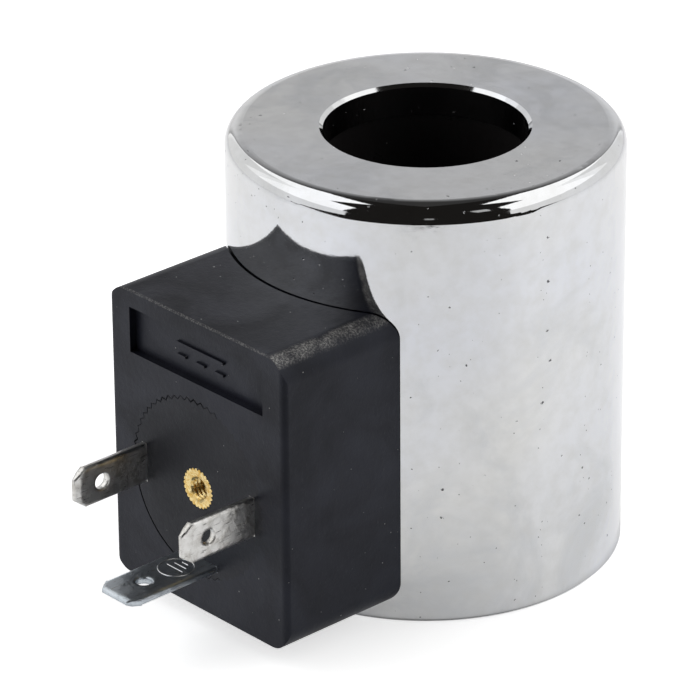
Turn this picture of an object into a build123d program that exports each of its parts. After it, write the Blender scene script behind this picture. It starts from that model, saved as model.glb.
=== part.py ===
from build123d import *
import os
from math import cos, hypot, radians, sin, tan

# Solenoid valve coil: a plated steel can with an open bore, and an overmoulded
# plug base with two power blades, an earth blade and a brass screw insert.
# Millimetres. The origin is on the bore axis at the can's lower face, +Z runs
# up the bore, and the plug base faces -Y.

# Steel can, 45 mm across outside: its diameter follows from the bore and the winding
can_height = 51.0
can_wall = 3.0
flange_thickness = 3.8
flange_edge_radius = 2.1
can_foot_break = 0.5
bore_diameter = 23.0
bore_chamfer = 0.4
can_corner_relief = 0.6

# Window in the can wall that the plug base is moulded through, inside the base's outline
window_side_margin = 6.45
window_foot_margin = 2.1
window_head_margin = 5.1
window_corner_radius = 2.0

# Flux plate pressed into the foot of the can
end_plate_thickness = 4.0
end_plate_edge_break = 0.4

# Bobbin and its winding
bobbin_bore_relief = 0.2
bobbin_wall = 1.2
bobbin_flange_thickness = 1.8
bobbin_flange_gap = 0.8
winding_build = 4.6
winding_rim_gap = 1.2
tape_thickness = 0.25
lead_groove_depth = 0.7
lead_groove_width = 0.8

# Leads from the winding to the power blades
lead_diameter = 0.5
lead_angle = 14.0
lead_exit_clearance = 1.0
lead_bend_radius = 1.2
lead_face_gap = 0.1
sleeve_wall = 0.3
sleeve_start_share = 0.15
sleeve_end_share = 0.85
finish_lead_height = 0.7
solder_foot_radius = 1.1
solder_top_radius = 0.6
solder_height = 1.0

# Plug base outside the can
base_width = 28.9
base_bottom = 2.5
base_reach = 12.0
base_top_radius = 3.0
base_bottom_radius = 2.4
base_side_radius = 0.75
base_front_break = 0.22

# Shadow gap where the moulding has shrunk away from the can round the base
seam_gap = 0.2
seam_depth = 0.8

# Recessed panel above the plug
panel_width = 22.0
panel_height = 5.5
panel_drop = 2.1
panel_depth = 0.95
panel_gap = 2.1

# Plug pattern on the front of the base
plug_height = 17.55
blade_pitch_radius = 9.0
blade_thickness = 0.8

# Power blades
power_blade_length = 10.4
power_blade_width = 4.8
power_tip_cut_length = 1.5
power_tip_cut_width = 1.15
power_hole_from_tip = 3.8
power_bevel_length = 0.85
power_bevel_depth = 0.22
power_edge_break = 0.15

# Earth blade
earth_blade_length = 12.4
earth_blade_width = 6.0
earth_tip_cut_length = 1.45
earth_tip_cut_width = 0.95
earth_hole_from_tip = 4.3
earth_bevel_length = 0.5
earth_bevel_depth = 0.2
earth_edge_break = 0.12
blade_hole_diameter = 1.9

# Hidden roots of the blades
shoulder_depth = 1.2
shoulder_length = 1.4
shoulder_step = 0.6
tail_width = 2.6
tail_length = 5.0
earth_tail_width = 4.0
earth_tail_length = 3.4

# Earth strap from the earth blade to the can, beside the window
strap_thickness = 0.5
strap_width = 2.2
strap_reach = 11.0
strap_pad_height = 3.8

# Round carrier that holds the blades and the insert
carrier_rim_wall = 0.35
carrier_tooth_depth = 0.4
carrier_tooth_count = 60
carrier_plain_start = 186.0
carrier_plain_end = 252.0
carrier_thickness = 3.2
carrier_gap = 0.07
carrier_gap_reach = 3.5
boss_diameter = 8.4
boss_floor = 1.0

# Threaded insert
insert_diameter = 4.9
insert_length = 7.4
knurl_count = 26
knurl_depth = 0.2
insert_groove_width = 1.0
insert_groove_depth = 0.35
thread_diameter = 3.0
thread_pitch = 0.5
tap_depth = 6.0
drill_point_angle = 118.0
mouth_countersink = 0.4

# Places worked out from the driving dimensions
bore_radius = bore_diameter / 2
tube_inner_radius = bore_radius + bobbin_bore_relief
tube_outer_radius = tube_inner_radius + bobbin_wall
winding_radius = tube_outer_radius + winding_build
tape_radius = winding_radius + tape_thickness
bobbin_flange_radius = winding_radius + winding_rim_gap
can_inner_radius = bobbin_flange_radius + bobbin_flange_gap
can_radius = can_inner_radius + can_wall
flange_underside = can_height - flange_thickness
winding_bottom = end_plate_thickness + bobbin_flange_thickness
winding_top = flange_underside - bobbin_flange_thickness
carrier_root_radius = carrier_rim_wall + hypot(
    blade_pitch_radius + blade_thickness / 2, earth_blade_width / 2 + shoulder_step)
panel_bottom = plug_height + carrier_root_radius + carrier_tooth_depth + panel_gap
base_top = panel_bottom + panel_height + panel_drop
base_height = base_top - base_bottom
base_centre_height = (base_top + base_bottom) / 2
window_width = base_width - 2 * window_side_margin
window_height = base_height - window_foot_margin - window_head_margin
window_centre_height = base_bottom + window_foot_margin + window_height / 2
front_y = -(can_radius + base_reach)
carrier_back_y = front_y + carrier_thickness
earth_height = plug_height - blade_pitch_radius
earth_tail_end_y = carrier_back_y + earth_tail_length
power_tail_end_y = carrier_back_y + tail_length
solder_y = power_tail_end_y - tail_width / 2
tap_radius = (thread_diameter - thread_pitch) / 2
boss_length = insert_length + boss_floor - carrier_thickness


def ring(outer_radius, inner_radius, bottom, top):
    """A plain tube about the bore axis."""
    height = top - bottom
    tube = Cylinder(outer_radius, height) - Cylinder(inner_radius, height)
    return Pos(0, 0, bottom + height / 2) * tube


def turned(points):
    """A solid turned about the bore axis from (radius, height) points."""
    profile = make_face(Polyline(*[(r, 0, z) for r, z in points], close=True))
    return revolve(profile, Axis.Z)


def rim_edges(body):
    """Widest round edges in the top face of a turned body."""
    return body.faces().sort_by(Axis.Z)[-1].edges().group_by(SortBy.RADIUS)[-1]


def window_plug(near, far):
    """The rounded window shape as a block between two distances from the axis."""
    outline = RectangleRounded(window_width, window_height, window_corner_radius)
    place = Plane((0, -near, window_centre_height), x_dir=(1, 0, 0), z_dir=(0, -1, 0))
    return extrude(place * outline, amount=far - near)


def steel_can():
    """Turned can: wall, integral top flange, chamfered bore and side window."""
    body = turned([
        (bore_radius, flange_underside),
        (can_inner_radius - can_corner_relief, flange_underside),
        (can_inner_radius, flange_underside - can_corner_relief),
        (can_inner_radius, end_plate_edge_break),
        (can_inner_radius + end_plate_edge_break, 0),
        (can_radius - can_foot_break, 0),
        (can_radius, can_foot_break),
        (can_radius, can_height),
        (bore_radius + bore_chamfer, can_height),
        (bore_radius, can_height - bore_chamfer),
    ])
    body = fillet(rim_edges(body), flange_edge_radius)
    return body - window_plug(can_inner_radius / 2, can_radius + can_wall)


def end_plate():
    """Flux plate: a washer pressed into the foot of the can, flush with it."""
    return turned([
        (bore_radius, 0),
        (can_inner_radius - end_plate_edge_break, 0),
        (can_inner_radius, end_plate_edge_break),
        (can_inner_radius, end_plate_thickness),
        (bore_radius, end_plate_thickness),
    ])


def lead_direction(side):
    """Unit vector from the bore axis towards a lead's exit, side -1 or +1."""
    angle = radians(lead_angle) * side
    return Vector(sin(angle), -cos(angle), 0)


def bobbin():
    """Spool: thin tube with two flanges, and a groove for the start lead."""
    spool = turned([
        (tube_inner_radius, end_plate_thickness),
        (bobbin_flange_radius, end_plate_thickness),
        (bobbin_flange_radius, winding_bottom),
        (tube_outer_radius, winding_bottom),
        (tube_outer_radius, winding_top),
        (bobbin_flange_radius, winding_top),
        (bobbin_flange_radius, flange_underside),
        (tube_inner_radius, flange_underside),
    ])
    groove_length = bobbin_flange_radius - tube_outer_radius + lead_exit_clearance
    groove = Box(groove_length, lead_groove_width, lead_groove_depth * 2)
    middle = lead_direction(-1) * (tube_outer_radius + groove_length / 2)
    turn = -90 - lead_angle
    return spool - Pos(middle.X, middle.Y, winding_bottom) * Rot(0, 0, turn) * groove


def winding():
    """Copper winding between the flanges."""
    return ring(winding_radius, tube_outer_radius, winding_bottom, winding_top)


def winding_tape():
    """Polyester tape wrapped over the winding."""
    return ring(tape_radius, winding_radius, winding_bottom, winding_top)


def blade_face_x(side):
    """X of the face of a power blade's tail that looks to the middle."""
    return side * (blade_pitch_radius - blade_thickness / 2)


def lead_points(side):
    """Route of a lead: out of the winding, through the window, on to its tail."""
    out = lead_direction(side)
    if side < 0:
        start = out * (tube_outer_radius + lead_diameter)
        height = winding_bottom - lead_groove_depth / 2
    else:
        start = out * tape_radius
        height = winding_bottom + finish_lead_height
    bend = out * (bobbin_flange_radius + lead_exit_clearance)
    x = blade_face_x(side) - side * (lead_diameter / 2 + lead_face_gap)
    return [
        Vector(start.X, start.Y, height),
        Vector(bend.X, bend.Y, height),
        Vector(x, solder_y, plug_height),
    ]


def lead(side):
    """Enamelled wire along its route."""
    path = FilletPolyline(*lead_points(side), radius=lead_bend_radius)
    section = Plane(path @ 0, z_dir=path % 0) * Circle(lead_diameter / 2)
    return sweep(section, path=path)


def lead_sleeve(side):
    """Insulating sleeve over the straight run of a lead."""
    _, low, high = lead_points(side)
    start = low + (high - low) * sleeve_start_share
    length = (high - low).length * (sleeve_end_share - sleeve_start_share)
    outer = Circle(lead_diameter / 2 + sleeve_wall)
    return extrude(Plane(start, z_dir=high - low) * (outer - Circle(lead_diameter / 2)), length)


def solder_joint(side):
    """Cone of solder that bonds a lead's end to its tail."""
    face = Plane((blade_face_x(side), solder_y, plug_height), z_dir=(-side, 0, 0))
    cone = Cone(solder_foot_radius, solder_top_radius, solder_height)
    return face * Pos(0, 0, solder_height / 2) * cone


def blade_outline(length, width, cut_length, cut_width, end_width, end_length):
    """Half outline points of a blade, (distance along -Y, half width), tip first."""
    half = width / 2
    shoulder = -shoulder_depth
    shoulder_end = shoulder - shoulder_length
    tail_end = -(carrier_thickness + end_length)
    return [
        (length, half - cut_width),
        (length - cut_length, half),
        (shoulder, half),
        (shoulder, half + shoulder_step),
        (shoulder_end, half + shoulder_step),
        (shoulder_end, end_width / 2),
        (tail_end, end_width / 2),
    ]


def stamped_blade(half_points, hole_from_tip, bevel_length, bevel_depth, edge_break):
    """Flat blade with a pierced hole and coined edges, lying along +X, flat in XY."""
    length = half_points[0][0]
    width = 2 * half_points[1][1]
    tip_start = half_points[1][0]
    mirrored = [(x, -y) for x, y in reversed(half_points)]
    outline = make_face(Polyline(*half_points, *mirrored, close=True))
    sheet = extrude(outline, blade_thickness / 2, both=True)
    for face_side in (-1, 1):
        low = face_side * blade_thickness / 2
        tip_wedge = make_face(Polyline(
            (length - bevel_length, 0, low),
            (length, 0, low - face_side * bevel_depth),
            (length, 0, low), close=True))
        sheet -= extrude(tip_wedge, width, both=True)
        for edge_side in (-1, 1):
            edge = edge_side * width / 2
            strip = make_face(Polyline(
                (0, edge - edge_side * edge_break * 2, low),
                (0, edge, low - face_side * edge_break),
                (0, edge, low), close=True))
            sheet -= extrude(strip, amount=tip_start, dir=(1, 0, 0))
    hole = Pos(length - hole_from_tip, 0, 0) * Cylinder(blade_hole_diameter / 2, 2 * blade_thickness)
    return sheet - hole


def power_terminal(side):
    """Power blade standing upright, with its shoulder and solder tail."""
    points = blade_outline(power_blade_length, power_blade_width, power_tip_cut_length,
                           power_tip_cut_width, tail_width, tail_length)
    blade = stamped_blade(points, power_hole_from_tip, power_bevel_length,
                          power_bevel_depth, power_edge_break)
    place = Plane((side * blade_pitch_radius, front_y, plug_height),
                  x_dir=(0, -1, 0), z_dir=(1, 0, 0))
    return place * blade


def earth_terminal():
    """Earth blade lying flat under the insert."""
    points = blade_outline(earth_blade_length, earth_blade_width, earth_tip_cut_length,
                           earth_tip_cut_width, earth_tail_width, earth_tail_length)
    blade = stamped_blade(points, earth_hole_from_tip, earth_bevel_length,
                          earth_bevel_depth, earth_edge_break)
    return Plane((0, front_y, earth_height), x_dir=(0, -1, 0), z_dir=(0, 0, 1)) * blade


def earth_strap():
    """Spring strip lapped on the earth tail, led aside to a curved pad on the can."""
    underside = earth_height + blade_thickness / 2
    top = underside + strap_thickness
    lap_y = earth_tail_end_y - strap_width / 2
    across = Pos(strap_reach / 2, lap_y, underside + strap_thickness / 2) * Box(
        strap_reach + strap_width, strap_width, strap_thickness)
    inward = Pos(strap_reach, lap_y / 2, underside + strap_thickness / 2) * Box(
        strap_width, -lap_y, strap_thickness)
    pad = ring(can_radius + strap_thickness, can_radius, top - strap_pad_height, top)
    pad &= Pos(strap_reach, -can_radius / 2, earth_height) * Box(
        strap_width, can_radius, 4 * strap_pad_height)
    return (across + inward - can_cylinder(0)) + pad


def carrier_outline(extra):
    """Rim of the carrier: fine teeth all round but for one plain stretch."""
    pitch = 360.0 / carrier_tooth_count
    plain = carrier_root_radius + carrier_tooth_depth / 2 + extra
    teeth = int((360.0 + carrier_plain_start - carrier_plain_end) / pitch)
    tooth_pitch = (360.0 + carrier_plain_start - carrier_plain_end) / teeth
    points = [Vector(plain, 0).rotate(Axis.Z, carrier_plain_end)]
    for tooth in range(teeth):
        start = carrier_plain_end + tooth * tooth_pitch
        low = carrier_root_radius + extra
        high = carrier_root_radius + carrier_tooth_depth + extra
        points.append(Vector(high, 0).rotate(Axis.Z, start + tooth_pitch * 0.3))
        points.append(Vector(low, 0).rotate(Axis.Z, start + tooth_pitch * 0.8))
    points.append(Vector(plain, 0).rotate(Axis.Z, carrier_plain_start))
    middle = Vector(plain, 0).rotate(Axis.Z, (carrier_plain_start + carrier_plain_end) / 2)
    arc = ThreePointArc(points[-1], middle, points[0])
    return make_face(Polyline(*points) + arc)


def plug_plane(depth):
    """Plane on the plug's centre line, facing out, a depth behind the front face."""
    return Plane((0, front_y + depth, plug_height), x_dir=(1, 0, 0), z_dir=(0, -1, 0))


def carrier_blank(extra):
    """Toothed disc with the boss behind it, before the metal parts are let in."""
    disc = extrude(plug_plane(carrier_thickness) * carrier_outline(extra), carrier_thickness)
    boss = extrude(plug_plane(carrier_thickness + boss_length) * Circle(boss_diameter / 2), boss_length)
    return disc + boss


def terminal_carrier(metal):
    """Pre-moulded carrier, moulded round the blades and the insert."""
    body = carrier_blank(0)
    for piece in metal:
        body -= piece
    return body


def insert_blank():
    """Outside of the knurled insert: straight knurl with one retaining groove."""
    crest = insert_diameter / 2
    root = crest - knurl_depth
    step = 360.0 / knurl_count
    points = []
    for tooth in range(knurl_count):
        points.append(Vector(crest, 0).rotate(Axis.Z, (tooth - 0.2) * step))
        points.append(Vector(crest, 0).rotate(Axis.Z, (tooth + 0.2) * step))
        points.append(Vector(root, 0).rotate(Axis.Z, (tooth + 0.5) * step))
    knurl = extrude(make_face(Polyline(*points, close=True)), -insert_length)
    groove = Cylinder(insert_diameter, insert_groove_width) - Cylinder(
        crest - insert_groove_depth, insert_groove_width)
    return plug_plane(0) * (knurl - Pos(0, 0, -insert_length / 2) * groove)


def insert_hole():
    """Tapped hole at its core diameter, with a countersunk mouth and drill point."""
    point_drop = tap_radius / tan(radians(drill_point_angle / 2))
    profile = make_face(Polyline(
        (0, 0), (tap_radius + mouth_countersink, 0), (tap_radius, -mouth_countersink),
        (tap_radius, -tap_depth), (0, -tap_depth - point_drop), close=True))
    hole = revolve(Plane.XZ * profile, Axis.Z)
    return plug_plane(0) * hole


def threaded_insert():
    """Brass insert for the plug's fixing screw."""
    return insert_blank() - insert_hole()


def base_section(inset):
    """Front outline of the plug base, drawn in by an inset."""
    section = Rectangle(base_width - 2 * inset, base_height - 2 * inset)
    section = fillet(section.vertices().group_by(Axis.Y)[-1], base_top_radius - inset)
    return fillet(section.vertices().group_by(Axis.Y)[0], base_bottom_radius - inset)


def base_prism(inset):
    """The front outline run back into the can."""
    place = Plane((0, front_y, base_centre_height), x_dir=(1, 0, 0), z_dir=(0, -1, 0))
    return extrude(place * base_section(inset), front_y + can_inner_radius / 2)


def can_cylinder(extra):
    """Tall cylinder on the bore axis, wider than the can by an extra."""
    return Pos(0, 0, can_height / 2) * Cylinder(can_radius + extra, 2 * can_height)


def base_block():
    """Outside of the plug base, saddled to the can, with its shadow gap."""
    plan = Pos(0, front_y / 2) * Rectangle(base_width, -front_y)
    plan = fillet(plan.vertices().group_by(Axis.Y)[0], base_side_radius)
    block = base_prism(0) & extrude(plan, base_top)
    front_edge = make_face(Polyline(
        (0, front_y, base_top - base_front_break),
        (0, front_y, base_top),
        (0, front_y + base_front_break, base_top), close=True))
    block -= extrude(front_edge, base_width, both=True)
    return block - can_cylinder(0) - (can_cylinder(seam_gap) - base_prism(seam_depth))


def coil_jacket():
    """Moulding compound between the winding and the can wall."""
    return turned([
        (bobbin_flange_radius, end_plate_thickness),
        (can_inner_radius, end_plate_thickness),
        (can_inner_radius, flange_underside - can_corner_relief),
        (can_inner_radius - can_corner_relief, flange_underside),
        (bobbin_flange_radius, flange_underside),
        (bobbin_flange_radius, winding_top),
        (tape_radius, winding_top),
        (tape_radius, winding_bottom),
        (bobbin_flange_radius, winding_bottom),
    ])


def moulded_housing(embedded):
    """One moulding: plug base, neck through the window and jacket round the coil."""
    neck = window_plug(can_inner_radius / 2, can_radius + can_wall / 2)
    neck -= Pos(0, 0, can_height / 2) * Cylinder(tape_radius, can_height)
    neck -= ring(bobbin_flange_radius, tape_radius / 2, end_plate_thickness, winding_bottom)
    body = base_block() + neck + coil_jacket()
    body -= Pos(0, front_y, panel_bottom + panel_height / 2) * Box(
        panel_width, 2 * panel_depth, panel_height)
    rim_gap = extrude(plug_plane(carrier_thickness) * carrier_outline(carrier_gap), 2 * carrier_thickness)
    body -= rim_gap & Pos(carrier_gap_reach - base_width / 2, front_y, plug_height) * Box(
        base_width, 4 * carrier_thickness, base_height)
    body -= carrier_blank(0)
    for piece in embedded:
        body -= piece
    return body


def write(node, shape):
    """Write one sub-part to its own STEP file."""
    shape.label = node
    export_step(shape, "parts/" + node + ".step")


def main():
    os.makedirs("parts", exist_ok=True)
    left_terminal = power_terminal(-1)
    right_terminal = power_terminal(1)
    earth = earth_terminal()
    strap = earth_strap()
    insert = threaded_insert()
    start_lead = lead(-1)
    finish_lead = lead(1)
    start_sleeve = lead_sleeve(-1)
    finish_sleeve = lead_sleeve(1)
    start_solder = solder_joint(-1) - start_lead
    finish_solder = solder_joint(1) - finish_lead
    terminals = [left_terminal, right_terminal, earth]
    wiring = [start_lead, finish_lead, start_sleeve, finish_sleeve, start_solder, finish_solder]
    write("steel_can", steel_can())
    write("end_plate", end_plate())
    write("bobbin", bobbin())
    write("winding", winding())
    write("winding_tape", winding_tape())
    write("start_lead", start_lead)
    write("finish_lead", finish_lead)
    write("start_sleeve", start_sleeve)
    write("finish_sleeve", finish_sleeve)
    write("start_solder", start_solder)
    write("finish_solder", finish_solder)
    write("left_terminal", left_terminal)
    write("right_terminal", right_terminal)
    write("earth_terminal", earth)
    write("earth_strap", strap)
    write("threaded_insert", insert)
    write("terminal_carrier", terminal_carrier(terminals + [insert_blank()]))
    write("moulded_housing", moulded_housing(terminals + [strap] + wiring))


main()
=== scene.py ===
from math import cos, pi, radians, sin, tau

import bmesh
import bpy
from mathutils import Matrix, Vector


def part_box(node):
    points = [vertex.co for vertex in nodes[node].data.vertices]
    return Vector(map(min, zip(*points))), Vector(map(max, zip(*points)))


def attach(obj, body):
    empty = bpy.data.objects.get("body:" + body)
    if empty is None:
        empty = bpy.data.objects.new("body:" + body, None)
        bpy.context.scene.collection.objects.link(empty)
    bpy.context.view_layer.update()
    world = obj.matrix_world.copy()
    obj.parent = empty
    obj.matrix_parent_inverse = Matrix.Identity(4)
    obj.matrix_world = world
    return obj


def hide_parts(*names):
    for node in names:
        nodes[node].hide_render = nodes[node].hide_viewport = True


# Looks for a hydraulic valve coil: a chrome plated steel can with an open bore, and a black glass-filled
# nylon plug base with tin plated blades and a knurled brass insert. Sizes with _mm are millimetres.

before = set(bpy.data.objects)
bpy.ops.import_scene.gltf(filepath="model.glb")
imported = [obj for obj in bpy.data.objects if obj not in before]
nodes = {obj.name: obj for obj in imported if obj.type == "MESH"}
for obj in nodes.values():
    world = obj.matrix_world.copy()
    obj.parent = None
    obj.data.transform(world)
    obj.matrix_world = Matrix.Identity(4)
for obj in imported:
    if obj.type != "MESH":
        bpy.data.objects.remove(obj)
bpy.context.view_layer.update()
scene = bpy.context.scene
MM = 0.001

# Camera, solved from the photograph. Azimuth 0 looks along +Y, and all angles are degrees.
camera_azimuth = 47.651
camera_elevation = 25.972
camera_roll = -0.426
camera_distance_mm = 592.2
camera_aim_mm = Vector((-6.12, -6.08, 22.88))
camera_lens_mm = 267.43
camera_sensor_mm = 36.0

# Softboxes of each side, as (name, ahead from and to, height from and to, level). Metres from the coil, and
# level 1 is white.
softbox_distance = 0.6
softbox_tiers = (
    ("low", -0.45, 0.6, 0.0, 0.3, 0.88),
    ("middle", -0.25, 0.55, 0.3, 0.85, 1.3),
    ("shoulder", -0.45, -0.25, 0.3, 0.85, 1.08),
    ("rear", -1.2, -0.45, 0.0, 0.85, 0.85),
    ("top", -1.2, 0.15, 0.85, 2.0, 1.3),
)
# Small lights of the room, as (name, azimuth from the camera, elevation, width, level), taller than wide
room_lights = (("lamp", 34.0, 42.0, 0.13, 0.5), ("doorway", 1.0, 15.0, 0.09, 0.3))
room_light_stretch = 1.6
# Wall behind the tent as the metal sees it: its level changes between two heights, given as the sine of the
# elevation, and it ends between two cosines of the angle from the photographer
wall_heights = (0.15, 0.85)
wall_levels = (0.8, 0.03)
wall_ends = (-0.94, -0.87)
room_level = 0.05
# Paper: it lies this far under the coil, and reaches this far to the front and to the back, in metres. In the
# metal it darkens between two distances from the bore's axis
paper_gap_mm = 0.02
paper_front = 0.13
paper_back = -1.6
paper_fade = (0.15, 0.5)
# Glow that the paper adds in the metal at the sides and in front, and to the eye. The lower glow in front is painted
# shade
side_glow = 0.43
front_glow = 0.3
eye_glow = 0.62
# The glow in the metal falls to this share at the can's foot, between two distances from the bore's axis, as a
# painted contact shadow
foot_shade_mm = (22.5, 24.0)
foot_shade_share = 0.3

# Thread and knurl of the insert. The flank slope is the rise over a whole pitch, in thread depths, and the shares
# are of one tooth of the knurl
thread_pitch_mm = 0.5
thread_crest_radius_mm = 1.26
thread_root_radius_mm = 1.5
thread_depth_mm = 6.0
mouth_radius_mm = 1.95
mouth_depth_mm = 0.2
drill_point_mm = 0.7
thread_rows_per_turn = 10
thread_flank_slope = 2.6
thread_crest_flat = 0.2
knurl_count = 26
knurl_depth_mm = 0.2
knurl_points_per_tooth = 8
knurl_crest_share = 0.2
knurl_flank_share = 0.3
insert_groove_width_mm = 1.0
insert_groove_depth_mm = 0.35
insert_edge_mm = 0.07

# Joint round the terminal carrier, drawn as a line of painted shade: its teeth, the stretch without teeth, and the
# width of the painted line. The pitch and the stretch are in degrees, and the teeth are turned by a share of their
# pitch
joint_tooth_mm = 0.4
joint_tooth_pitch = 6.0
joint_tooth_shift = 0.2
joint_plain_start = 186.0
joint_plain_end = 252.0
joint_shade_width_mm = 0.2
# From the plug's axis, the teeth fade in towards the left and towards the foot
joint_left_fade_mm = (4.0, 2.0)
joint_foot_fade_mm = (-7.0, -9.0)

# Earth sign on the earth blade, with its bars given as (distance from the front of the base, length)
sign_radius_mm = 2.05
sign_from_front_mm = 3.35
sign_line_mm = 0.3
sign_relief_mm = 0.05
sign_bars_mm = ((3.55, 2.8), (2.75, 2.1), (2.05, 1.15))

# Direct current sign on the recessed panel: one long bar over three short ones
panel_middle_mm = 33.2
panel_depth_mm = 0.95
mark_length_mm = 8.0
mark_bar_mm = 0.6
mark_spacing_mm = 1.5
mark_dash_share = 0.22
mark_relief_mm = 0.3


def add(tree, kind, inputs=None, **settings):
    """Add one node with its settings. An input takes a value, a socket, or a node's first output."""
    node = tree.nodes.new("ShaderNode" + kind)
    for name, value in settings.items():
        setattr(node, name, value)
    for key, value in (inputs or {}).items():
        if isinstance(value, bpy.types.Node):
            value = next(out for out in value.outputs if out.enabled)
        if isinstance(value, bpy.types.NodeSocket):
            tree.links.new(value, node.inputs[key])
        else:
            node.inputs[key].default_value = value
    return node


def colour(code):
    """Linear colour from an sRGB hex value."""
    channels = [int(code[i:i + 2], 16) / 255 for i in (1, 3, 5)]
    linear = [c / 12.92 if c <= 0.04045 else ((c + 0.055) / 1.055) ** 2.4 for c in channels]
    return (*linear, 1.0)


def new_surface(name, **inputs):
    """Material with one Principled shader. Underscores in an input's name stand for spaces."""
    material = bpy.data.materials.new(name)
    material.use_nodes = True
    tree = material.node_tree
    tree.nodes.clear()
    shader = add(tree, "BsdfPrincipled", {key.replace("_", " "): value for key, value in inputs.items()})
    add(tree, "OutputMaterial", {"Surface": shader})
    return material, tree, shader


def millimetres(tree):
    """Place on the object in millimetres."""
    place = add(tree, "TexCoord").outputs["Object"]
    return add(tree, "VectorMath", {0: place, "Scale": 1000.0}, operation="SCALE")


def connect(tree, value, shader, name):
    """Link a node's first output to a named input of the shader."""
    tree.links.new(next(out for out in value.outputs if out.enabled), shader.inputs[name])


def specks(tree, point, spacing_mm, size_mm, share):
    """Mask of separate round specks on a share of the cells of an uneven grid."""
    cells = add(tree, "TexVoronoi", {"Vector": point, "Scale": 1 / spacing_mm})
    near = add(tree, "MapRange", {
        "Value": cells.outputs["Distance"],
        "From Min": size_mm / 2 / spacing_mm, "From Max": size_mm / 4 / spacing_mm},
        interpolation_type="SMOOTHSTEP")
    lot = add(tree, "SeparateXYZ", {0: cells.outputs["Color"]}).outputs["X"]
    chosen = add(tree, "Math", {0: lot, 1: share}, operation="LESS_THAN")
    return add(tree, "Math", {0: near, 1: chosen}, operation="MULTIPLY")


def facing(tree, direction, spread):
    """Mask of the surfaces that look along a direction, faded out over a spread in degrees."""
    normal = add(tree, "TexCoord").outputs["Normal"]
    agree = add(tree, "VectorMath", {0: normal, 1: Vector(direction).normalized()}, operation="DOT_PRODUCT")
    return add(tree, "MapRange", {"Value": agree.outputs["Value"], "From Min": cos(radians(spread)),
                                  "From Max": 1.0}, interpolation_type="SMOOTHSTEP")


def round_the_bore(tree, point):
    """Place unrolled from the bore axis: degrees round it, height, and distance from it, as a vector."""
    parts = add(tree, "SeparateXYZ", {0: point})
    flat = add(tree, "CombineXYZ", {"X": parts.outputs["X"], "Y": parts.outputs["Y"]})
    radius = add(tree, "VectorMath", {0: flat}, operation="LENGTH").outputs["Value"]
    turn = add(tree, "Math", {0: parts.outputs["Y"], 1: parts.outputs["X"]}, operation="ARCTAN2")
    turn = add(tree, "Math", {0: turn, 1: 180 / pi}, operation="MULTIPLY")
    return add(tree, "CombineXYZ", {"X": turn, "Y": parts.outputs["Z"], "Z": radius})


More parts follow.
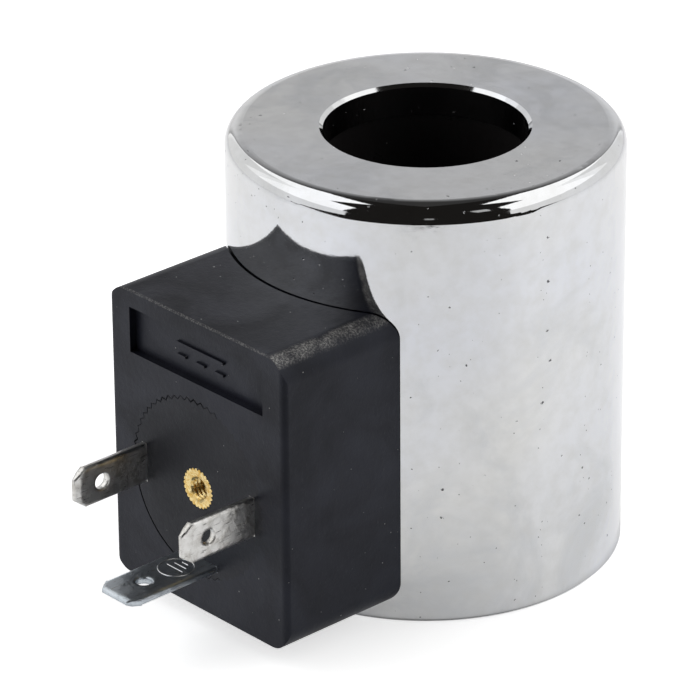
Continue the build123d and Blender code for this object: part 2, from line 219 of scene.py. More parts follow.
def chrome_plated_steel():
    """Turned steel, polished and chrome plated: a clear mirror, dulled by handling smudges and small pits."""
    material, tree, shader = new_surface("chrome_plated_steel", Metallic=1.0)
    point = millimetres(tree)
    unrolled = round_the_bore(tree, point)
    # Smudges some 12 mm across with cloudy edges
    smudge = add(tree, "TexNoise", {"Vector": point, "Scale": 1 / 12, "Detail": 5.0, "Roughness": 0.62,
                                    "Distortion": 0.6})
    smudge = add(tree, "MapRange", {"Value": smudge, "From Min": 0.44, "From Max": 0.72, "To Max": 0.8},
                 interpolation_type="SMOOTHSTEP")
    # Pits of 0.2 to 0.4 mm, torn out of round by a noise of 0.3 mm
    torn = add(tree, "TexNoise", {"Vector": point, "Scale": 1 / 0.3, "Detail": 1.0})
    torn = add(tree, "VectorMath", {0: torn.outputs["Color"], 1: (0.45, 0.45, 0.25), 2: point},
               operation="MULTIPLY_ADD")
    pits = specks(tree, torn, 1.6, 0.4, 0.11)
    dots = specks(tree, torn, 0.7, 0.18, 0.12)
    pits = add(tree, "Math", {0: pits, 1: dots}, operation="MAXIMUM")
    # The plating is mottled every 2 mm and tinted every 25 mm
    mottle = add(tree, "TexNoise", {"Vector": point, "Scale": 1 / 2.2, "Detail": 5.0, "Roughness": 0.6})
    mottle = add(tree, "MapRange", {"Value": mottle, "From Min": 0.4, "From Max": 0.75, "To Max": 0.5})
    tint = add(tree, "TexNoise", {"Vector": point, "Scale": 1 / 25, "Detail": 2.0})
    tint = add(tree, "MapRange", {"Value": tint, "From Min": 0.35, "From Max": 0.65})
    tone = add(tree, "Mix", {0: tint, 6: colour("#dee0e5"), 7: colour("#e1e1df")}, data_type="RGBA")
    tone = add(tree, "Mix", {0: smudge, 6: tone, 7: colour("#cdcfd1")}, data_type="RGBA")
    tone = add(tree, "Mix", {0: mottle, 6: tone, 7: colour("#cfcfcd")}, data_type="RGBA")
    tone = add(tree, "Mix", {0: pits, 6: tone, 7: colour("#5c5c5f")}, data_type="RGBA")
    # The top face was turned last and stayed a little duller than the polished wall, with dust lying on it
    top = facing(tree, (0, 0, 1), 3)
    dust = add(tree, "Math", {0: specks(tree, point, 1.2, 0.2, 0.16), 1: top}, operation="MULTIPLY")
    tone = add(tree, "Mix", {0: dust, 6: tone, 7: colour("#ffffff")}, data_type="RGBA")
    connect(tree, tone, shader, "Base Color")
    rough = add(tree, "MapRange", {"Value": smudge, "To Min": 0.05, "To Max": 0.13})
    rough = add(tree, "Math", {0: top, 1: 0.16, 2: rough}, operation="MULTIPLY_ADD")
    rough = add(tree, "Math", {0: dust, 1: 0.6, 2: rough}, operation="MULTIPLY_ADD")
    connect(tree, rough, shader, "Roughness")
    # Fine polishing lines run round the can, some 0.17 mm apart and about 20 degrees long
    stretched = add(tree, "VectorMath", {0: unrolled, 1: (0.05, 6.0, 6.0)}, operation="MULTIPLY")
    lines = add(tree, "TexNoise", {"Vector": stretched, "Scale": 1.0, "Detail": 3.0})
    ripple = add(tree, "TexNoise", {"Vector": point, "Scale": 1 / 1.6, "Detail": 4.0, "Roughness": 0.55})
    bump = add(tree, "Bump", {"Height": ripple, "Strength": 1.0, "Distance": 0.006 * MM})
    bump = add(tree, "Bump", {"Height": lines, "Strength": 1.0, "Distance": 0.0004 * MM, "Normal": bump})
    bump = add(tree, "Bump", {"Height": pits, "Strength": 1.0, "Distance": -0.05 * MM, "Normal": bump})
    bump = add(tree, "Bump", {"Height": dust, "Strength": 1.0, "Distance": 0.04 * MM, "Normal": bump})
    connect(tree, bump, shader, "Normal")
    return material


def zinc_plated_steel():
    """Pressed washer, turned and zinc plated: dull bluish grey with turning rings."""
    material, tree, shader = new_surface("zinc_plated_steel", Metallic=1.0)
    point = millimetres(tree)
    unrolled = round_the_bore(tree, point)
    rings = add(tree, "VectorMath", {0: unrolled, 1: (0.02, 0.0, 4.0)}, operation="MULTIPLY")
    rings = add(tree, "TexNoise", {"Vector": rings, "Scale": 1.0, "Detail": 3.0})
    cloud = add(tree, "TexNoise", {"Vector": point, "Scale": 1 / 5, "Detail": 4.0})
    tone = add(tree, "Mix", {0: cloud, 6: colour("#b4b7ba"), 7: colour("#9b9fa4")}, data_type="RGBA")
    connect(tree, tone, shader, "Base Color")
    connect(tree, add(tree, "MapRange", {"Value": cloud, "To Min": 0.28, "To Max": 0.5}), shader, "Roughness")
    connect(tree, add(tree, "Bump", {"Height": rings, "Distance": 0.01 * MM}), shader, "Normal")
    return material


def painted_joint_shade(tree, point):
    """Mask of painted shade along the joint round the terminal carrier: a clear line where its rim is plain, a faint
    one at its teeth.
    """
    low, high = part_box("terminal_carrier")
    axis = (low + high) / 2 / MM
    tips = (high.x - low.x) / 2 / MM
    offset = add(tree, "VectorMath", {0: point, 1: (axis.x, low.y / MM, axis.z)}, operation="SUBTRACT")
    parts = add(tree, "SeparateXYZ", {0: offset})
    flat = add(tree, "VectorMath", {0: offset, 1: (1.0, 0.0, 1.0)}, operation="MULTIPLY")
    radius = add(tree, "VectorMath", {0: flat}, operation="LENGTH").outputs["Value"]
    # Degrees round the plug's axis from the end of the plain stretch, counted from the plug side
    turn = add(tree, "Math", {0: parts.outputs["Z"], 1: parts.outputs["X"]}, operation="ARCTAN2")
    turn = add(tree, "Math", {0: turn, 1: 180 / pi, 2: 720.0 - joint_plain_end}, operation="MULTIPLY_ADD")
    turn = add(tree, "Math", {0: turn, 1: 360.0}, operation="MODULO")
    plain = add(tree, "Math", {0: turn, 1: 360.0 - joint_plain_end + joint_plain_start}, operation="GREATER_THAN")
    tooth = add(tree, "Math", {0: turn, 1: joint_tooth_pitch * joint_tooth_shift}, operation="ADD")
    tooth = add(tree, "Math", {0: tooth, 1: joint_tooth_pitch / 2}, operation="PINGPONG")
    tooth = add(tree, "MapRange", {"Value": tooth, "From Max": joint_tooth_pitch / 2,
                                   "To Min": tips - joint_tooth_mm, "To Max": tips})
    rim = add(tree, "Mix", {0: plain, 2: tooth, 3: tips - joint_tooth_mm / 2}, data_type="FLOAT")
    away = add(tree, "Math", {0: radius, 1: rim}, operation="SUBTRACT")
    away = add(tree, "Math", {0: away}, operation="ABSOLUTE")
    line = add(tree, "MapRange", {"Value": away, "From Min": joint_shade_width_mm * 0.8, "From Max": joint_shade_width_mm * 0.3},
               interpolation_type="SMOOTHSTEP")
    patches = add(tree, "TexNoise", {"Vector": point, "Scale": 1 / 5, "Detail": 1.0})
    patches = add(tree, "MapRange", {"Value": patches, "From Min": 0.42, "From Max": 0.58, "To Max": 0.8})
    # The teeth on the right are moulded shut, but for those at the foot
    left = add(tree, "MapRange", {"Value": parts.outputs["X"], "From Min": joint_left_fade_mm[0],
                                  "From Max": joint_left_fade_mm[1]})
    foot = add(tree, "MapRange", {"Value": parts.outputs["Z"], "From Min": joint_foot_fade_mm[0],
                                  "From Max": joint_foot_fade_mm[1]})
    open_teeth = add(tree, "Math", {0: left, 1: foot}, operation="MAXIMUM")
    patches = add(tree, "Math", {0: patches, 1: open_teeth}, operation="MULTIPLY")
    strength = add(tree, "Mix", {0: plain, 2: patches, 3: 1.0}, data_type="FLOAT")
    return add(tree, "Math", {0: line, 1: strength}, operation="MULTIPLY")


def moulded_nylon(name, code, flow_code, roughness, wear):
    """Glass-filled nylon from a spark-eroded mould: charcoal, satin, with a fine grain, flow clouds and dust.

    Wear is how strongly its edges are rubbed grey and given a painted highlight."""
    material, tree, shader = new_surface(name, IOR=1.53, Specular_IOR_Level=0.29, Specular_Tint=colour("#eef2ff"))
    point = millimetres(tree)
    # Flow clouds some 9 mm across and mottling of 0.8 mm
    flow = add(tree, "TexNoise", {"Vector": point, "Scale": 1 / 9, "Detail": 5.0, "Distortion": 0.8})
    flow = add(tree, "MapRange", {"Value": flow, "From Min": 0.35, "From Max": 0.7})
    mottle = add(tree, "TexNoise", {"Vector": point, "Scale": 1 / 0.8, "Detail": 4.0, "Roughness": 0.65})
    grain = add(tree, "TexNoise", {"Vector": point, "Scale": 1 / 0.16, "Detail": 2.0})
    # Glass fibres near the skin show as pale streaks, some 0.2 mm wide and 0.7 mm long
    fibre = add(tree, "VectorMath", {0: point, 1: (5.0, 5.0, 1.4)}, operation="MULTIPLY")
    fibre = add(tree, "TexNoise", {"Vector": fibre, "Scale": 1.0, "Detail": 2.0})
    fibre = add(tree, "MapRange", {"Value": fibre, "From Min": 0.64, "From Max": 0.8, "To Max": 0.6})
    # Dust of 0.2 mm, and lint that is drawn out upwards
    dust = specks(tree, point, 1.1, 0.2, 0.1)
    lint = specks(tree, add(tree, "VectorMath", {0: point, 1: (1.0, 1.0, 0.3)}, operation="MULTIPLY"),
                  3.0, 0.3, 0.1)
    dust = add(tree, "Math", {0: dust, 1: lint}, operation="MAXIMUM")
    tone = add(tree, "Mix", {0: flow, 6: colour(code), 7: colour(flow_code)}, data_type="RGBA")
    pale = add(tree, "Mix", {0: fibre, 6: tone, 7: colour("#303035")}, data_type="RGBA")
    # The top right edge is rubbed grey and given a painted highlight in a band of sparkling grains, the front edge in
    # a thin line
    right_edge = add(tree, "Math", {0: facing(tree, (0.55, 0, 1), 30), 1: 3.0}, operation="POWER")
    front_edge = facing(tree, (0, -1, 1), 24)
    front_edge = add(tree, "Math", {0: front_edge, 1: 0.28}, operation="MULTIPLY")
    patches = add(tree, "TexNoise", {"Vector": point, "Scale": 1 / 3.5, "Detail": 3.0})
    patches = add(tree, "MapRange", {"Value": patches, "From Min": 0.32, "From Max": 0.66})
    sparkle = add(tree, "TexNoise", {"Vector": point, "Scale": 1 / 0.22, "Detail": 3.0, "Roughness": 0.7})
    sparkle = add(tree, "MapRange", {"Value": sparkle, "From Min": 0.46, "From Max": 0.62})
    edge_wear_and_highlight = add(tree, "Math", {0: right_edge, 1: patches}, operation="MULTIPLY")
    edge_wear_and_highlight = add(tree, "Math", {0: edge_wear_and_highlight, 1: front_edge}, operation="MAXIMUM")
    sparkle = add(tree, "Math", {0: sparkle, 1: 0.8, 2: 0.2}, operation="MULTIPLY_ADD")
    edge_wear_and_highlight = add(tree, "Math", {0: edge_wear_and_highlight, 1: sparkle}, operation="MULTIPLY")
    edge_wear_and_highlight = add(tree, "Math", {0: edge_wear_and_highlight, 1: wear}, operation="MULTIPLY")
    # Pale edge colour: rubbed wear together with a painted highlight
    pale = add(tree, "Mix", {0: edge_wear_and_highlight, 6: pale, 7: colour("#cfcdc8")}, data_type="RGBA")
    pale = add(tree, "Mix", {0: dust, 6: pale, 7: colour("#a9a9a8")}, data_type="RGBA")
    # The joint round the carrier is a fine dull groove, and the black band along it is painted shade, wider than the
    # shadow of the real gap
    joint_shade = painted_joint_shade(tree, point)
    pale = add(tree, "Mix", {0: joint_shade, 6: pale, 7: colour("#010101")}, data_type="RGBA")
    connect(tree, pale, shader, "Base Color")
    # Handled patches are a little shinier than the clean grain
    rough = add(tree, "MapRange", {"Value": mottle, "To Min": roughness - 0.04, "To Max": roughness + 0.1})
    rough = add(tree, "Math", {0: flow, 1: -0.12, 2: rough}, operation="MULTIPLY_ADD")
    rough = add(tree, "Math", {0: joint_shade, 1: 0.5, 2: rough}, operation="MULTIPLY_ADD")
    connect(tree, rough, shader, "Roughness")
    bump = add(tree, "Bump", {"Height": mottle, "Distance": 0.035 * MM})
    bump = add(tree, "Bump", {"Height": grain, "Distance": 0.012 * MM, "Normal": bump})
    bump = add(tree, "Bump", {"Height": dust, "Distance": 0.05 * MM, "Normal": bump})
    bump = add(tree, "Bump", {"Height": joint_shade, "Distance": -0.12 * MM, "Normal": bump})
    connect(tree, bump, shader, "Normal")
    return material


def tinned_brass(name, along, code, dull_code, wear=1.0):
    """Brass strip, tin plated and stamped: pale and soft-shining, with rolling streaks, stains and scratches.

    Wear is the strength of the scratches, and how far the edges are rolled over."""
    material, tree, shader = new_surface(name, Metallic=1.0)
    point = millimetres(tree)
    streak = add(tree, "VectorMath", {0: point, 1: along}, operation="MULTIPLY")
    streak = add(tree, "TexNoise", {"Vector": streak, "Scale": 1.0, "Detail": 4.0, "Roughness": 0.6})
    cloud = add(tree, "TexNoise", {"Vector": point, "Scale": 1 / 1.6, "Detail": 5.0, "Roughness": 0.6})
    cloud = add(tree, "MapRange", {"Value": cloud, "From Min": 0.4, "From Max": 0.7},
                interpolation_type="SMOOTHSTEP")
    # Scratches 0.15 mm wide and some 2 mm long, drawn wider than real ones so that they show
    scratch = add(tree, "VectorMath", {0: point, 1: tuple(value * 1.6 for value in along)}, operation="MULTIPLY")
    scratch = add(tree, "TexNoise", {"Vector": scratch, "Scale": 1.0, "Detail": 1.0, "Distortion": 0.5})
    scratch = add(tree, "MapRange", {"Value": scratch, "From Min": 0.66, "From Max": 0.72, "To Max": wear})
    tone = add(tree, "Mix", {0: cloud, 6: colour(code), 7: colour(dull_code)}, data_type="RGBA")
    tone = add(tree, "Mix", {0: scratch, 6: tone, 7: colour("#a3a19d")}, data_type="RGBA")
    connect(tree, tone, shader, "Base Color")
    connect(tree, add(tree, "MapRange", {"Value": streak, "To Min": 0.2, "To Max": 0.42}), shader, "Roughness")
    # Stamping and barrel plating left the sharp edges rolled over, so that they catch the light
    edge_roll_mm = 0.02 + 0.5 * wear
    rolled = add(tree, "Bevel", {"Radius": edge_roll_mm * MM}, samples=8)
    bump = add(tree, "Bump", {"Height": streak, "Distance": 0.008 * MM, "Normal": rolled})
    bump = add(tree, "Bump", {"Height": cloud, "Distance": 0.028 * MM, "Normal": bump})
    bump = add(tree, "Bump", {"Height": scratch, "Distance": -0.015 * MM, "Normal": bump})
    connect(tree, bump, shader, "Normal")
    return material


def turned_brass():
    """Free-cutting brass, turned and knurled: warm pale gold with a slight tarnish."""
    material, tree, shader = new_surface("turned_brass", Metallic=1.0)
    point = millimetres(tree)
    tarnish = add(tree, "TexNoise", {"Vector": point, "Scale": 1 / 0.5, "Detail": 4.0, "Roughness": 0.6})
    tarnish = add(tree, "MapRange", {"Value": tarnish, "From Min": 0.35, "From Max": 0.65})
    tone = add(tree, "Mix", {0: tarnish, 6: colour("#fae6ac"), 7: colour("#dfb357")}, data_type="RGBA")
    connect(tree, tone, shader, "Base Color")
    connect(tree, add(tree, "MapRange", {"Value": tarnish, "To Min": 0.2, "To Max": 0.42}), shader, "Roughness")
    connect(tree, add(tree, "Bump", {"Height": tarnish, "Distance": 0.01 * MM}), shader, "Normal")
    return material


def enamelled_copper():
    """Winding wire: copper under clear enamel, laid in turns 0.7 mm apart."""
    material, tree, shader = new_surface("enamelled_copper", Metallic=1.0, Coat_Weight=0.8, Coat_Roughness=0.12)
    point = millimetres(tree)
    # A wave texture repeats every tau / 20 / Scale
    turns = add(tree, "TexWave", {"Vector": point, "Scale": 1 / 0.35 / tau, "Distortion": 0.3},
                bands_direction="Z")
    tone = add(tree, "Mix", {0: turns, 6: colour("#7c3a1c"), 7: colour("#d98a57")}, data_type="RGBA")
    connect(tree, tone, shader, "Base Color")
    connect(tree, add(tree, "MapRange", {"Value": turns, "To Min": 0.45, "To Max": 0.22}), shader, "Roughness")
    connect(tree, add(tree, "Bump", {"Height": turns, "Distance": 0.1 * MM}), shader, "Normal")
    return material


def polyester_film():
    """Yellow winding tape: glossy film with lap edges every 18 mm and fine creases."""
    material, tree, shader = new_surface("polyester_film", IOR=1.6, Coat_Weight=0.5)
    point = millimetres(tree)
    laps = add(tree, "TexWave", {"Vector": point, "Scale": 1 / 9 / tau, "Distortion": 0.2},
               bands_direction="Z", wave_profile="SAW")
    crease = add(tree, "TexNoise", {"Vector": point, "Scale": 1 / 1.5, "Detail": 4.0})
    tone = add(tree, "Mix", {0: laps, 6: colour("#d9b63a"), 7: colour("#c79f26")}, data_type="RGBA")
    connect(tree, tone, shader, "Base Color")
    connect(tree, add(tree, "MapRange", {"Value": crease, "To Min": 0.18, "To Max": 0.34}), shader, "Roughness")
    connect(tree, add(tree, "Bump", {"Height": crease, "Distance": 0.03 * MM}), shader, "Normal")
    return material


def extruded_sleeving():
    """Natural fluoropolymer tube: milky, waxy, with faint drawing lines."""
    material, tree, shader = new_surface("extruded_sleeving", IOR=1.38, Subsurface_Weight=0.2)
    point = millimetres(tree)
    lines = add(tree, "VectorMath", {0: point, 1: (6.0, 6.0, 0.6)}, operation="MULTIPLY")
    lines = add(tree, "TexNoise", {"Vector": lines, "Scale": 1.0, "Detail": 3.0})
    tone = add(tree, "Mix", {0: lines, 6: colour("#d8d6cf"), 7: colour("#c4c1b6")}, data_type="RGBA")
    connect(tree, tone, shader, "Base Color")
    connect(tree, add(tree, "MapRange", {"Value": lines, "To Min": 0.35, "To Max": 0.5}), shader, "Roughness")
    connect(tree, add(tree, "Bump", {"Height": lines, "Distance": 0.02 * MM}), shader, "Normal")
    return material


def solidified_solder():
    """Tin solder that set in place: bright grey with frosty grains."""
    material, tree, shader = new_surface("solidified_solder", Metallic=1.0)
    point = millimetres(tree)
    frost = add(tree, "TexVoronoi", {"Vector": point, "Scale": 1 / 0.25})
    tone = add(tree, "Mix", {0: frost, 6: colour("#c9cbcd"), 7: colour("#a5a8ab")}, data_type="RGBA")
    connect(tree, tone, shader, "Base Color")
    connect(tree, add(tree, "MapRange", {"Value": frost, "To Min": 0.18, "To Max": 0.42}), shader, "Roughness")
    connect(tree, add(tree, "Bump", {"Height": frost, "Distance": 0.01 * MM}), shader, "Normal")
    return material


def dress(name, material):
    """Give a CAD node its finish."""
    slots = nodes[name].material_slots
    for slot in slots:
        slot.material = material
    if not slots:
        nodes[name].data.materials.append(material)


def new_piece(name, mesh, material):
    """Put a finished mesh in the scene as a piece of the coil."""
    mesh.normal_update()
    data = bpy.data.meshes.new(name)
    mesh.to_mesh(data)
    mesh.free()
    data.materials.append(material)
    for polygon in data.polygons:
        polygon.use_smooth = True
    data.set_sharp_from_angle(angle=radians(32))
    piece = bpy.data.objects.new(name, data)
    scene.collection.objects.link(piece)
    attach(piece, "root")
    return piece


def stitch(mesh, loops):
    """Faces between loops of equally many points, each joined to the next."""
    for first, second in zip(loops, loops[1:]):
        count = len(first)
        for i in range(count):
            j = (i + 1) % count
            mesh.faces.new((first[i], first[j], second[j], second[i]))


def knurl_radius(crest_mm, turn):
    """Radius of the straight knurl at a fraction of a turn: a crest at every whole tooth, a root between."""
    phase = turn * knurl_count % 1.0
    slope = max(0.0, (min(phase, 1.0 - phase) - knurl_crest_share) / knurl_flank_share)
    return crest_mm - knurl_depth_mm * slope


def thread_radius(depth_mm, turn):
    """Radius of the tapped hole: a V thread between its crest and root, faded out at the bottom of the hole."""
    phase = (depth_mm / thread_pitch_mm + turn) % 1.0
    shape = max(0.0, min(1.0, abs(phase - 0.5) * thread_flank_slope - thread_crest_flat))
    fade = min(1.0, (thread_depth_mm - depth_mm) / thread_pitch_mm)
    return thread_crest_radius_mm + (thread_root_radius_mm - thread_crest_radius_mm) * shape * max(0.0, fade)


def brass_insert(material):
    """Knurled insert with a real thread, in the place of its CAD node."""
    low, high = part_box("threaded_insert")
    centre_x = (low.x + high.x) / 2
    centre_z = (low.z + high.z) / 2
    length = (high.y - low.y) / MM
    crest = (high.z - low.z) / 2 / MM
    steps = knurl_count * knurl_points_per_tooth
    mesh = bmesh.new()

    def loop(depth, radius):
        """One ring of points, its radius given as a number or as a function of the turn."""
        ring = []
        for i in range(steps):
            turn = i / steps
            r = radius(turn) if callable(radius) else radius
            place = (centre_x + r * MM * cos(turn * tau), low.y + depth * MM, centre_z + r * MM * sin(turn * tau))
            ring.append(mesh.verts.new(place))
        return ring

    def knurl(inset):
        """Radius of the knurl as a function of the turn, drawn in by a chamfer."""
        return lambda turn: knurl_radius(crest, turn) - inset

    groove_start = (length - insert_groove_width_mm) / 2
    groove_end = groove_start + insert_groove_width_mm
    groove = crest - insert_groove_depth_mm
    loops = [
        loop(length - insert_edge_mm, knurl(0)),
        loop(groove_end, knurl(0)),
        loop(groove_end, groove),
        loop(groove_start, groove),
        loop(groove_start, knurl(0)),
        loop(insert_edge_mm, knurl(0)),
        loop(0, knurl(insert_edge_mm)),
        loop(0, mouth_radius_mm),
    ]
    rows = int((thread_depth_mm - mouth_depth_mm) / thread_pitch_mm * thread_rows_per_turn)
    for row in range(rows + 1):
        depth = mouth_depth_mm + (thread_depth_mm - mouth_depth_mm) * row / rows
        loops.append(loop(depth, lambda turn: thread_radius(depth, turn)))
    stitch(mesh, loops)
    drill_point = mesh.verts.new((centre_x, low.y + (thread_depth_mm + drill_point_mm) * MM, centre_z))
    for i in range(steps):
        mesh.faces.new((loops[-1][i], loops[-1][(i + 1) % steps], drill_point))
    back = loop(length, knurl(insert_edge_mm))
    stitch(mesh, [back, loops[0]])
    mesh.faces.new(back)
    bmesh.ops.recalc_face_normals(mesh, faces=mesh.faces)
    piece = new_piece("tapped_insert", mesh, material)
    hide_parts("threaded_insert")
    return piece


def rounded_bar(centre, along, across, length, width, corner_steps=5):
    """Outline of a bar with round ends."""
    points = []
    for end in (1, -1):
        for i in range(corner_steps + 1):
            angle = -pi / 2 + pi * i / corner_steps
            points.append(centre + end * (along * (length / 2 - width / 2 + cos(angle) * width / 2)
                                          + across * sin(angle) * width / 2))
    return points


def raised_bar(mesh, centre, along, across, length, width, lift):
    """Low solid bar with round ends and sloping sides, sunk into its ground as deep as it stands out."""
    foot = rounded_bar(centre - lift, along, across, length, width)
    top = rounded_bar(centre + lift, along, across, length - width / 2, width / 2)
    foot = [mesh.verts.new(point) for point in foot]
    top = [mesh.verts.new(point) for point in top]
    stitch(mesh, [foot, top])
    mesh.faces.new(top)
    mesh.faces.new(list(reversed(foot)))


def earth_sign(material):
    """Protective earth sign, struck into the earth blade as pale lines: a ring and three bars."""
    low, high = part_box("earth_terminal")
    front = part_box("threaded_insert")[0].y
    middle = Vector(((low.x + high.x) / 2, front - sign_from_front_mm * MM, high.z))
    lift = Vector((0, 0, sign_relief_mm * MM))
    along, across = Vector((1, 0, 0)), Vector((0, 1, 0))
    mesh = bmesh.new()
    steps = 64
    radius, line = sign_radius_mm * MM, sign_line_mm * MM
    section = ((radius - line / 2, -lift), (radius + line / 2, -lift),
               (radius + line / 4, lift), (radius - line / 4, lift))
    loops = []
    for reach, height in section:
        loops.append([mesh.verts.new(middle + height + along * cos(tau * i / steps) * reach
                                     + across * sin(tau * i / steps) * reach) for i in range(steps)])
    stitch(mesh, loops + [loops[0]])
    for from_front, length in sign_bars_mm:
        centre = Vector((middle.x, front - from_front * MM, high.z))
        raised_bar(mesh, centre, along, across, length * MM, line, lift)
    bmesh.ops.recalc_face_normals(mesh, faces=mesh.faces)
    return new_piece("earth_sign", mesh, material)


def current_sign(material):
    """Direct current sign, moulded on the floor of the panel: one long bar over three short ones."""
    floor_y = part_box("threaded_insert")[0].y + panel_depth_mm * MM
    along, across = Vector((1, 0, 0)), Vector((0, 0, 1))
    lift = Vector((0, -mark_relief_mm * MM, 0))
    mesh = bmesh.new()
    length, width = mark_length_mm * MM, mark_bar_mm * MM
    middle = Vector((0, floor_y, panel_middle_mm * MM))
    offset = across * mark_spacing_mm * MM / 2
    raised_bar(mesh, middle + offset, along, across, length, width, lift)
    dash = length * mark_dash_share
    for place in (-1, 0, 1):
        centre = middle - offset + along * place * (length - dash) / 2
        raised_bar(mesh, centre, along, across, dash, width, lift)
    bmesh.ops.recalc_face_normals(mesh, faces=mesh.faces)
    return new_piece("current_sign", mesh, material)


def studio_frame():
    """Directions of the studio: to the photographer, to the right, and up."""
    a = radians(camera_azimuth)
    return Vector((sin(a), -cos(a), 0)), Vector((cos(a), sin(a), 0)), Vector((0, 0, 1))


def studio_camera():
    """Long lens at the photograph's angle."""
    to_camera, right, up = studio_frame()
    e, roll = radians(camera_elevation), radians(camera_roll)
    back = to_camera * cos(e) + up * sin(e)
    level_up = back.cross(right)
    across = right * cos(roll) + level_up * sin(roll)
    upward = level_up * cos(roll) - right * sin(roll)
    data = bpy.data.cameras.new("camera")
    data.lens = camera_lens_mm
    data.sensor_width = camera_sensor_mm
    data.clip_start = 0.01
    data.clip_end = 20.0
    camera = bpy.data.objects.new("camera", data)
    scene.collection.objects.link(camera)
    place = (camera_aim_mm + back * camera_distance_mm) * MM
    columns = (across, upward, back, place)
    camera.matrix_world = Matrix([[column[row] for column in columns] for row in range(3)] + [[0, 0, 0, 1]])
    scene.camera = camera


def softbox(name, centre, inward, width, height, level):
    """Evenly lit rectangular lamp that looks inward, to the coil."""
    lamp = bpy.data.lights.new(name, "AREA")
    lamp.shape = "RECTANGLE"
    lamp.size = width
    lamp.size_y = height
    lamp.energy = level * width * height * pi
    piece = bpy.data.objects.new(name, lamp)
    piece.location = centre
    piece.rotation_mode = "QUATERNION"
    piece.rotation_quaternion = (-inward).to_track_quat("Z", "Y")
    piece.visible_camera = False
    scene.collection.objects.link(piece)


def studio_lights():
    """A wall of softboxes each side. The tent is open and dark to the front and above, but for the room's lamps."""
    to_camera, right, up = studio_frame()
    for side, side_name in ((-1, "left"), (1, "right")):
        for name, back_end, front_end, bottom, top, level in softbox_tiers:
            centre = (right * side * softbox_distance + to_camera * (back_end + front_end) / 2
                      + up * (bottom + top) / 2)
            softbox(side_name + "_" + name + "_softbox", centre, -right * side, front_end - back_end,
                    top - bottom, level)
    for name, azimuth, elevation, width, level in room_lights:
        turn, rise = radians(azimuth), radians(elevation)
        outward = (to_camera * cos(turn) + right * sin(turn)) * cos(rise) + up * sin(rise)
        softbox(name, outward, -outward, width, width * room_light_stretch, level)


def studio_world():
    """White to the eye. To the metal, a bright wall behind that darkens upwards, and a dark front."""
    to_camera, right, up = studio_frame()
    world = bpy.data.worlds.new("studio")
    scene.world = world
    world.use_nodes = True
    tree = world.node_tree
    tree.nodes.clear()
    direction = add(tree, "TexCoord").outputs["Generated"]
    height = add(tree, "SeparateXYZ", {0: direction}).outputs["Z"]
    wall = add(tree, "MapRange", {"Value": height, "From Min": wall_heights[0], "From Max": wall_heights[1],
                                  "To Min": wall_levels[0], "To Max": wall_levels[1]},
               interpolation_type="SMOOTHSTEP")
    level_direction = add(tree, "VectorMath", {0: direction, 1: (1.0, 1.0, 0.0)}, operation="MULTIPLY")
    level_direction = add(tree, "VectorMath", {0: level_direction}, operation="NORMALIZE")
    front = add(tree, "VectorMath", {0: level_direction, 1: to_camera}, operation="DOT_PRODUCT").outputs["Value"]
    behind = add(tree, "MapRange", {"Value": front, "From Min": wall_ends[0], "From Max": wall_ends[1],
                                    "To Min": 1.0, "To Max": 0.0}, interpolation_type="SMOOTHSTEP")
    level = add(tree, "Math", {0: wall, 1: behind}, operation="MULTIPLY")
    tent = add(tree, "Background", {"Color": colour("#fdfdff"), "Strength": level})
    room = add(tree, "Background", {"Color": colour("#8c8782"), "Strength": room_level})
    lit = add(tree, "AddShader", {0: tent, 1: room})
    white = add(tree, "Background", {"Color": (1, 1, 1, 1), "Strength": 1.0})
    eye = add(tree, "LightPath").outputs["Is Camera Ray"]
    add(tree, "OutputWorld", {"Surface": add(tree, "MixShader", {0: eye, 1: lit, 2: white})})


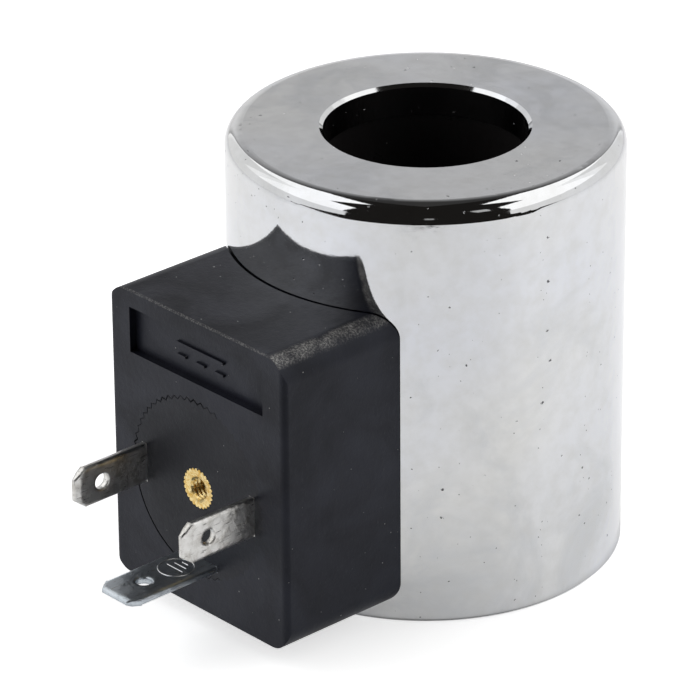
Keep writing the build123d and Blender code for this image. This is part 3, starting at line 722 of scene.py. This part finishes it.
def paper_floor():
    """Pale paper under the coil, as wide as the softboxes stand. It ends a hand's width in front of the coil."""
    to_camera, right, up = studio_frame()
    mesh = bmesh.new()
    corners = ((paper_front, -softbox_distance), (paper_front, softbox_distance),
               (paper_back, softbox_distance), (paper_back, -softbox_distance))
    under = up * paper_gap_mm * -MM
    mesh.faces.new([mesh.verts.new(to_camera * ahead + right * aside + under) for ahead, aside in corners])
    data = bpy.data.meshes.new("paper_floor")
    mesh.to_mesh(data)
    mesh.free()
    floor_object = bpy.data.objects.new("paper_floor", data)
    scene.collection.objects.link(floor_object)
    material = bpy.data.materials.new("paper")
    material.use_nodes = True
    tree = material.node_tree
    tree.nodes.clear()
    path = add(tree, "LightPath")
    eye, mirror = path.outputs["Is Camera Ray"], path.outputs["Is Glossy Ray"]
    place = add(tree, "TexCoord").outputs["Object"]
    away = add(tree, "VectorMath", {0: place}, operation="LENGTH").outputs["Value"]
    place = add(tree, "VectorMath", {0: place}, operation="NORMALIZE")
    ahead = add(tree, "VectorMath", {0: place, 1: to_camera}, operation="DOT_PRODUCT").outputs["Value"]
    # In the metal the paper glows less in front than at the sides: painted shade
    seen_glow = add(tree, "MapRange", {"Value": ahead, "From Min": 0.5, "From Max": 1.0,
                                       "To Min": side_glow, "To Max": front_glow}, interpolation_type="SMOOTHSTEP")
    # Reflectance: seen by the eye, seen in the metal, and for all other light
    far = add(tree, "MapRange", {"Value": away, "From Min": paper_fade[0], "From Max": paper_fade[1]})
    seen = add(tree, "Mix", {0: far, 6: (0.95, 0.95, 0.96, 1), 7: (0.55, 0.55, 0.57, 1)}, data_type="RGBA")
    tone = add(tree, "Mix", {0: mirror, 6: (0.82, 0.82, 0.82, 1), 7: seen}, data_type="RGBA")
    tone = add(tree, "Mix", {0: eye, 6: tone, 7: (1.2, 1.2, 1.2, 1)}, data_type="RGBA")
    # The metal sees the paper darken right at the can's foot: a painted contact shadow
    foot = add(tree, "MapRange", {"Value": away, "From Min": foot_shade_mm[0] * MM,
                                  "From Max": foot_shade_mm[1] * MM, "To Min": foot_shade_share, "To Max": 1.0})
    seen_glow = add(tree, "Math", {0: seen_glow, 1: foot}, operation="MULTIPLY")
    glow = add(tree, "Math", {0: mirror, 1: seen_glow}, operation="MULTIPLY")
    glow = add(tree, "Math", {0: eye, 1: eye_glow, 2: glow}, operation="MULTIPLY_ADD")
    paper = add(tree, "BsdfDiffuse", {"Color": tone})
    shine = add(tree, "Emission", {"Color": (1, 1, 1, 1), "Strength": glow})
    add(tree, "OutputMaterial", {"Surface": add(tree, "AddShader", {0: paper, 1: shine})})
    data.materials.append(material)


def main():
    """Dress the coil, and put the studio round it."""
    chrome = chrome_plated_steel()
    zinc = zinc_plated_steel()
    housing_nylon = moulded_nylon("housing_nylon", "#0f1018", "#20222d", 0.46, 1.0)
    carrier_nylon = moulded_nylon("carrier_nylon", "#0f1016", "#17181f", 0.46, 0.0)
    bobbin_nylon = moulded_nylon("bobbin_nylon", "#1e1c1c", "#262424", 0.35, 0.0)
    power_tin = tinned_brass("power_blade_tin", (4.0, 0.35, 4.0), "#efeeeb", "#cac7c1")
    earth_tin = tinned_brass("earth_blade_tin", (4.0, 0.35, 4.0), "#d3dae0", "#b9c1c8")
    sign_tin = tinned_brass("struck_line_tin", (4.0, 4.0, 4.0), "#f6f8f9", "#e6eaec", 0.0)
    brass = turned_brass()
    copper = enamelled_copper()
    film = polyester_film()
    sleeving = extruded_sleeving()
    solder = solidified_solder()
    finishes = {
        "steel_can": chrome,
        "end_plate": zinc,
        "bobbin": bobbin_nylon,
        "winding": copper,
        "winding_tape": film,
        "start_lead": copper,
        "finish_lead": copper,
        "start_sleeve": sleeving,
        "finish_sleeve": sleeving,
        "start_solder": solder,
        "finish_solder": solder,
        "left_terminal": power_tin,
        "right_terminal": power_tin,
        "earth_terminal": earth_tin,
        "earth_strap": power_tin,
        "threaded_insert": brass,
        "terminal_carrier": carrier_nylon,
        "moulded_housing": housing_nylon,
    }
    for name, material in finishes.items():
        dress(name, material)
    brass_insert(brass)
    earth_sign(sign_tin)
    current_sign(housing_nylon)
    studio_camera()
    studio_lights()
    studio_world()
    paper_floor()
    scene.view_settings.view_transform = "Standard"


main()
